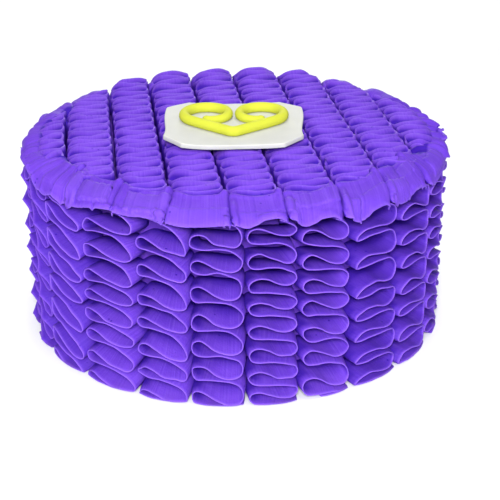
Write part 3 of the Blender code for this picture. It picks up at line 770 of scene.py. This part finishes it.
def build_rim_fold(index, feet, crests, style, material):
    """The last pass of a row, drawn as one thin sheet over the rim and down on to the side."""
    chance = np.random.default_rng(800 + index)
    s_share, tears = style
    width = (feet[1] - feet[0]) * RUFFLE_RADIUS
    stations = int(width / FOLD_STEP)
    u = np.linspace(-1.0, 1.0, stations)
    foot = (feet[0] + feet[1]) / 2.0 + u * (feet[1] - feet[0]) / 2.0
    crest = (crests[0] + crests[1]) / 2.0 + u * (crests[1] - crests[0]) / 2.0
    turned = np.abs(np.mod(foot + math.pi, 2.0 * math.pi) - math.pi)
    front = np.clip((FRONT_FOLDS_END - turned) / FRONT_FOLDS_BLEND, 0.0, 1.0)
    s_edge, flat_edge = smooth_route(S_EDGE), smooth_route(FLAT_FOLD_EDGE)
    wave = (s_share * np.interp(u, s_edge[:, 0], s_edge[:, 1])
            + (1.0 - s_share) * np.interp(u, flat_edge[:, 0], flat_edge[:, 1])) * MM
    torn = smooth_noise(chance, stations, 2.5) * smooth_noise(chance, stations, 9.0)
    for centre, half, drop in FOLD_TEARS.get(index, ()):
        spike = np.maximum(1.0 - np.abs(u - centre) / half, 0.0)
        wave -= spike * drop * (1.0 + 0.3 * smooth_noise(chance, stations, 3.0)) * MM
    flapped = 1.0 if index in FOLD_FLAPS else 0.0
    share = (u + 1.0) / 2.0 * FOLD_FLAPS.get(index, 0) + 0.08 * smooth_noise(chance, stations, 12.0)
    share = share - np.floor(share)
    lobes = flapped * FLAP_DROP * (0.5 - np.sin(math.pi * share))
    level = fold_edge_level(foot) + wave + lobes + torn * tears * MM
    profile = (np.array(FRONT_FOLD)[None] * front[:, None, None]
               + np.array(BACK_FOLD)[None] * (1.0 - front)[:, None, None]) * MM
    radius, height = profile[..., 0], profile[..., 1]
    height[:, :2] += level[:, None]
    rear = fade(turned, REAR_FROM, REAR_TO)
    height[:, 2:8] += (rear * (REAR_LIFT - REAR_DOME * np.abs(u) ** 2.5))[:, None]
    # A wide fold is gathered into petals with sharp valleys
    valley = np.zeros(stations)
    if width > LEAST_PLEATED_WIDTH:
        wander = 0.05 * smooth_noise(chance, stations, stations / 7.0)
        pleat = ((u + 1.0) / 2.0 + wander) * round(width / PLEAT_WIDTH)
        pleat = pleat - np.floor(pleat)
        valley = 1.0 - np.sin(math.pi * pleat ** 0.7) ** PLEAT_SHARPNESS
        pleat_share = np.array((0.7, 0.8, 0.9, 1.0, 1.0, 0.9, 0.6, 0.3, 0.1, 0.0))
        radius -= valley[:, None] * pleat_share * PLEAT_DEPTH
        height[:, 1:] -= valley[:, None] * pleat_share[1:] * PLEAT_DEPTH * 0.8
        height[:, 0] += valley * PLEAT_DEPTH * 0.3
    # The crest bows to the outside and dips between its two corners, and the sheet's sides fall
    # into the gaps beside it
    smile = 1.0 - np.abs(u) ** 1.8
    crest_share = np.array((0.0, 0.0, 0.1, 0.3, 0.6, 0.85, 1.0, 1.0, 1.0, 1.0))
    corner = np.exp(-((u - 0.86) / 0.09) ** 2)
    radius -= ((1.0 - smile) * 2.8 + corner * 1.2)[:, None] * crest_share * MM
    height += (corner * 1.6 - smile * 1.2)[:, None] * crest_share * MM
    gap_share = np.array((0.0, 0.3, 0.7, 0.9, 1.0, 1.0, 1.0, 0.9, 0.5, 0.0))
    sink = 4.5 * MM * np.abs(u) ** (10.0 + 6.0 * front)
    height -= sink[:, None] * gap_share
    radius -= (sink * 0.4)[:, None] * gap_share
    tuck = 2.6 * MM * s_share * np.clip((u - 0.82) / 0.18, 0.0, 1.0) ** 2
    radius[:, :2] -= tuck[:, None]
    rows = FRONT_FOLD_PLACES if index < len(FRONT_FOLD_STYLES) else OTHER_FOLD_PLACES
    places = np.linspace(0.0, 1.0, rows) ** 0.9
    middle = np.zeros((stations, rows, 3))
    for at in range(stations):
        line = smooth_route(np.stack([radius[at], height[at]], axis=1), 8)
        lengths = np.concatenate([[0.0], np.cumsum(np.linalg.norm(np.diff(line, axis=0), axis=1))])
        r = np.interp(places * lengths[-1], lengths, line[:, 0])
        z = np.interp(places * lengths[-1], lengths, line[:, 1])
        upward = np.clip((RUFFLE_RADIUS - r) / (RUFFLE_RADIUS - CREST_RADIUS), 0.0, 1.0)
        angle = foot[at] + (crest[at] - foot[at]) * upward
        middle[at] = around(angle, r, z)
    across, inward = np.gradient(middle, axis=0), np.gradient(middle, axis=1)
    normal = unit(np.cross(across, inward))
    raised = smooth_noise(chance, stations, 9.0)[:, None] * np.sin(math.pi * places)[None] * 0.6
    # Painted highlight on the raised plates and their borders
    pale_highlight = np.zeros((stations, rows))
    for left, right, low, high, rise in FOLD_PLATES.get(index, ()):
        rough = smooth_noise(chance, rows, 2.4)[None] * 0.025
        rough_across = smooth_noise(chance, stations, 2.5)[:, None] * 0.015
        inside = fade(u[:, None] - left + rough, 0.0, 0.03) * fade(right - u[:, None] + rough, 0.0, 0.03)
        inside *= fade(places[None] - low + rough_across, 0.0, 0.025)
        inside *= fade(high - places[None] + rough_across, 0.0, 0.025)
        raised = raised + inside * rise * (1.6 + 0.6 * u[:, None])
        pale_highlight = np.maximum(pale_highlight, PLATE_HIGHLIGHT * inside * rise + 2.0 * inside * (1.0 - inside) * rise)
    flap = fade(share, 0.0, 0.10) * (1.0 - share) ** 0.7
    raised = raised + flapped * FLAP_RISE * (flap - 0.65)[:, None] * fade(0.72 - places, 0.0, 0.2)[None]
    # Painted shade just before each next flap
    crease_shade = flapped * FLAP_SHADE * np.exp(-((1.0 - share) / 0.07) ** 2)
    lip = np.exp(-((u + 0.84) / 0.07) ** 2)[:, None] * fade(0.62 - places, 0.0, 0.3)[None]
    lip *= 1.0 - flapped
    raised = (raised + lip * FOLD_LIP * (0.4 + s_share)) * MM
    middle = middle + normal * raised[..., None]
    thickness = 0.6 * MM + 1.0 * MM * np.minimum(places * 1.6, 1.0)
    name = f"rim_drape_{index + 1:02d}"
    # Painted shade: inward from the crest, in seams, flap starts and pleat valleys, over all folds, more on
    # the right
    dark_from = 0.44 + 0.23 * np.maximum(front, rear)[:, None]
    seam = np.maximum(np.maximum(fade(np.abs(u), 0.955, 1.0), crease_shade), 0.9 * valley ** 2)
    painted_shade = np.maximum(fade(places[None] - dark_from, 0.0, 0.06), seam[:, None]) * TOP_SHADE
    painted_shade = np.maximum(painted_shade, (FOLD_SHADE + RIGHT_FOLD_SHADE * fade(np.sin(foot), 0.3, 0.8))[:, None])
    along = np.linspace(0.0, width, stations)
    item = ribbon(name, middle, thickness, places, painted_shade, along, material, pale_highlight=np.minimum(pale_highlight, 1.0))
    stand_for(item, f"rim_fold_{index + 1:02d}")
    return item


# The plaque and the rope heart

def plaque_level(x, y):
    across = x / (PLAQUE_WIDTH / 2.0)
    along = y / (PLAQUE_DEPTH / 2.0)
    return RUFFLE_TOP + GAP + PLAQUE_THICKNESS + PLAQUE_SAG * (across * along) ** 2


def build_plaque(material):
    """A thin rolled sheet with cut corners and round edges, which sags between its corners."""
    rows, columns = 57, 61
    grid = np.zeros((rows, columns, 3))
    for row in range(rows):
        y = (2.0 * row / (rows - 1) - 1.0) * PLAQUE_DEPTH / 2.0
        into = max(abs(y) - (PLAQUE_DEPTH / 2.0 - PLAQUE_CORNER), 0.0) / PLAQUE_CORNER
        half = PLAQUE_WIDTH / 2.0 - PLAQUE_CORNER * into
        half += PLAQUE_WAVE * math.sin(y / (9.0 * MM))
        x = np.linspace(-half, half, columns)
        bowed = y - PLAQUE_BOW * np.maximum(1.0 - (2.0 * x / PLAQUE_WIDTH) ** 2, 0.0)
        bowed += PLAQUE_WAVE * np.sin(x / (8.0 * MM) + 1.0) * (2.0 * y / PLAQUE_DEPTH) ** 2
        grid[row] = np.stack([x, bowed, plaque_level(x, y)], axis=-1)
    grid[..., 0] += PLAQUE_PLACE[0]
    grid[..., 1] += PLAQUE_PLACE[1]
    index = np.arange(rows * columns).reshape(rows, columns)
    faces = np.stack([index[:-1, :-1], index[:-1, 1:], index[1:, 1:], index[1:, :-1]], axis=-1)
    item = mesh_piece("rolled_plaque", grid.reshape(-1, 3), faces.reshape(-1, 4), material)
    plate = item.modifiers.new("plate", "SOLIDIFY")
    plate.thickness = PLAQUE_THICKNESS
    plate.offset = -1.0
    rounding = item.modifiers.new("rounding", "BEVEL")
    rounding.width = 1.0 * MM
    rounding.segments = 4
    rounding.limit_method = "ANGLE"
    stand_for(item, "plaque")
    return item


def heart_route():
    """The heart's middle line from the left curl through the tip to the right curl."""
    middle = HEART_TIP + HEART_TIP_RADIUS
    turns = np.linspace(0.0, HEART_TIP_TURN, 6)
    tip = np.stack([HEART_TIP_RADIUS * np.sin(turns), middle - HEART_TIP_RADIUS * np.cos(turns)], axis=1)
    share = np.linspace(0.0, 1.0, 70)
    turn = HEART_LOBE_START + (HEART_LOBE_END - HEART_LOBE_START) * share
    reach = HEART_LOBE_RADIUS + (HEART_CURL_RADIUS - HEART_LOBE_RADIUS) * share ** HEART_CURL_EASE
    lobe = np.stack([HEART_LOBE[0] + reach * np.cos(turn), HEART_LOBE[1] + reach * np.sin(turn)], axis=1)
    arrive = HEART_LOBE_START + math.pi / 2.0
    pull = HEART_SIDE_PULL * np.array((math.cos(HEART_TIP_TURN), math.sin(HEART_TIP_TURN)))
    push = HEART_SIDE_PULL * np.array((math.cos(arrive), math.sin(arrive)))
    share = np.linspace(0.0, 1.0, 16)[1:-1, None]
    rest = 1.0 - share
    side = ((1.0 + 2.0 * share) * rest ** 2 * tip[-1] + share * rest ** 2 * pull
            + share ** 2 * (1.0 + 2.0 * rest) * lobe[0] - share ** 2 * rest * push)
    half = np.vstack([tip, side, lobe])
    return np.vstack([half[:0:-1] * (-1.0, 1.0), half])


def build_heart(material):
    """A rolled rope laid as a heart, a little flat where it lies, with round tapered ends."""
    route = heart_route()
    lengths = np.concatenate([[0.0], np.cumsum(np.linalg.norm(np.diff(route, axis=0), axis=1))])
    count = 260
    route = evenly(route, lengths, count)
    places = np.linspace(0.0, lengths[-1], count)
    from_end = np.minimum(places, lengths[-1] - places)
    share = ROPE_END_SHARE + (1.0 - ROPE_END_SHARE) * np.clip(from_end / (26.0 * MM), 0.0, 1.0)
    radius = ROPE_RADIUS * share
    round_end = np.clip(from_end / radius, 0.0, 1.0)
    radius = radius * np.sqrt(np.maximum(1.0 - (1.0 - round_end) ** 2, 0.0)) + 0.02 * MM
    level = plaque_level(route[:, 0], route[:, 1]) + ROPE_RADIUS * share * 0.92
    forward = unit(np.gradient(route, axis=0))
    aside = np.stack([-forward[:, 1], forward[:, 0], np.zeros(count)], axis=1)
    sides = 28
    turn = np.linspace(0.0, 2.0 * math.pi, sides, endpoint=False)
    centre = np.stack([route[:, 0] + PLAQUE_PLACE[0], route[:, 1] + PLAQUE_PLACE[1], level], axis=1)
    ring = (centre[:, None] + aside[:, None] * (np.cos(turn)[None, :, None] * radius[:, None, None])
            + np.array((0.0, 0.0, 1.0)) * (np.sin(turn)[None, :, None] * radius[:, None, None] * 0.95))
    index = np.arange(count * sides).reshape(count, sides)
    low, high = index[:-1], index[1:]
    following = np.roll(np.arange(sides), -1)
    faces = np.stack([low, high, high[:, following], low[:, following]], axis=-1).reshape(-1, 4)
    caps = []
    for row, flip in ((index[0], False), (index[-1], True)):
        for step in range(sides // 2 - 1):
            quad = [row[step], row[step + 1], row[sides - 2 - step], row[sides - 1 - step]]
            caps.append(quad[::-1] if flip else quad)
    faces = np.vstack([faces, np.array(caps)])
    item = mesh_piece("rope_ornament", ring.reshape(-1, 3), faces, material)
    stand_for(item, "rope_heart")
    return item


# Floor, light and camera

def build_floor():
    half = 4.0
    points = np.array([(-half, -half, 0.0), (half, -half, 0.0), (half, half, 0.0), (-half, half, 0.0)])
    material, shader = new_material("pale_floor")
    place = material.node_tree.nodes.new("ShaderNodeTexCoord")
    clouds = noise(material, place.outputs["Object"], 3.0)
    paler = tuple(min(value * 1.01, 1.0) for value in FLOOR)
    link(material, mix_colour(material, clouds, FLOOR, paler), shader.inputs["Base Color"])
    shader.inputs["Roughness"].default_value = 0.9
    floor = mesh_piece("pale_floor", points, np.array([(0, 1, 2, 3)]), material)


def area_light(name, place, aim, size, power):
    data = bpy.data.lights.new(name, "AREA")
    data.shape = "DISK"
    data.size = size
    data.energy = power
    item = bpy.data.objects.new(name, data)
    item.location = place
    item.rotation_euler = (Vector(aim) - Vector(place)).to_track_quat("-Z", "Y").to_euler()
    bpy.context.scene.collection.objects.link(item)


def build_light():
    world = bpy.data.worlds.new("studio")
    world.use_nodes = True
    background = world.node_tree.nodes["Background"]
    background.inputs["Color"].default_value = (1.0, 1.0, 1.0, 1.0)
    direction = world.node_tree.nodes.new("ShaderNodeTexCoord")
    split = world.node_tree.nodes.new("ShaderNodeSeparateXYZ")
    world.node_tree.links.new(direction.outputs["Generated"], split.inputs["Vector"])
    aside = combine(world, "MULTIPLY", split.outputs["X"], split.outputs["X"])
    dimmed = combine(world, "MULTIPLY", aside, -SIDE_DIMNESS * WORLD_STRENGTH)
    world.node_tree.links.new(combine(world, "ADD", dimmed, WORLD_STRENGTH), background.inputs["Strength"])
    bpy.context.scene.world = world
    area_light("overhead", (0.04, -0.10, 1.30), (0.0, 0.0, 0.08), 0.4, 4.4)
    area_light("front", (-0.02, -1.18, 0.72), (0.0, 0.0, 0.06), 0.4, 24.0)
    area_light("back", (0.0, 1.35, 0.36), (0.0, 0.0, 0.05), 0.6, 5.5)
    bpy.context.scene.view_settings.view_transform = "Standard"


def build_camera():
    data = bpy.data.cameras.new("camera")
    data.lens = CAMERA_LENS
    data.sensor_width = SENSOR_WIDTH
    data.clip_start = 0.01
    data.clip_end = 20.0
    camera = bpy.data.objects.new("camera", data)
    bpy.context.scene.collection.objects.link(camera)
    forward = Vector((0.0, math.cos(CAMERA_PITCH), -math.sin(CAMERA_PITCH)))
    camera.location = Vector(CAMERA_TARGET) - forward * CAMERA_DISTANCE
    facing = forward.to_track_quat("-Z", "Y").to_matrix().to_4x4()
    turn = facing @ Matrix.Rotation(CAMERA_ROLL, 4, "Z")
    camera.rotation_euler = turn.to_euler()
    bpy.context.scene.camera = camera


def build():
    ribbon_icing = buttercream("piped_buttercream", True)
    core_icing = buttercream("spread_buttercream", False)
    ivory = fondant("ivory_fondant", IVORY, tuple(value * 0.95 for value in IVORY), 0.2)
    lemon = fondant("lemon_fondant", LEMON, tuple(value * 0.95 for value in LEMON), 0.3)
    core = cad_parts["cake_core"]
    core.data.materials.clear()
    core.data.materials.append(core_icing)
    seams = seam_angles()
    for index in range(COLUMN_COUNT):
        build_side_column(index, seams, ribbon_icing)
    for index in range(len(ROW_SEAMS) - 1):
        build_top_row(index, ribbon_icing)
    feet = [drift(angle) for angle in rim_fold_seams()]
    crests = crest_seams()
    for index in range(len(feet) - 1):
        chance = np.random.default_rng(900 + index)
        style = (chance.uniform(0.2, 1.0), chance.uniform(0.1, 0.35))
        if index < len(FRONT_FOLD_STYLES):
            style = FRONT_FOLD_STYLES[index]
        build_rim_fold(index, feet[index:index + 2], crests[index:index + 2], style, ribbon_icing)
    build_plaque(ivory)
    build_heart(lemon)
    build_floor()
    build_light()
    build_camera()


build()
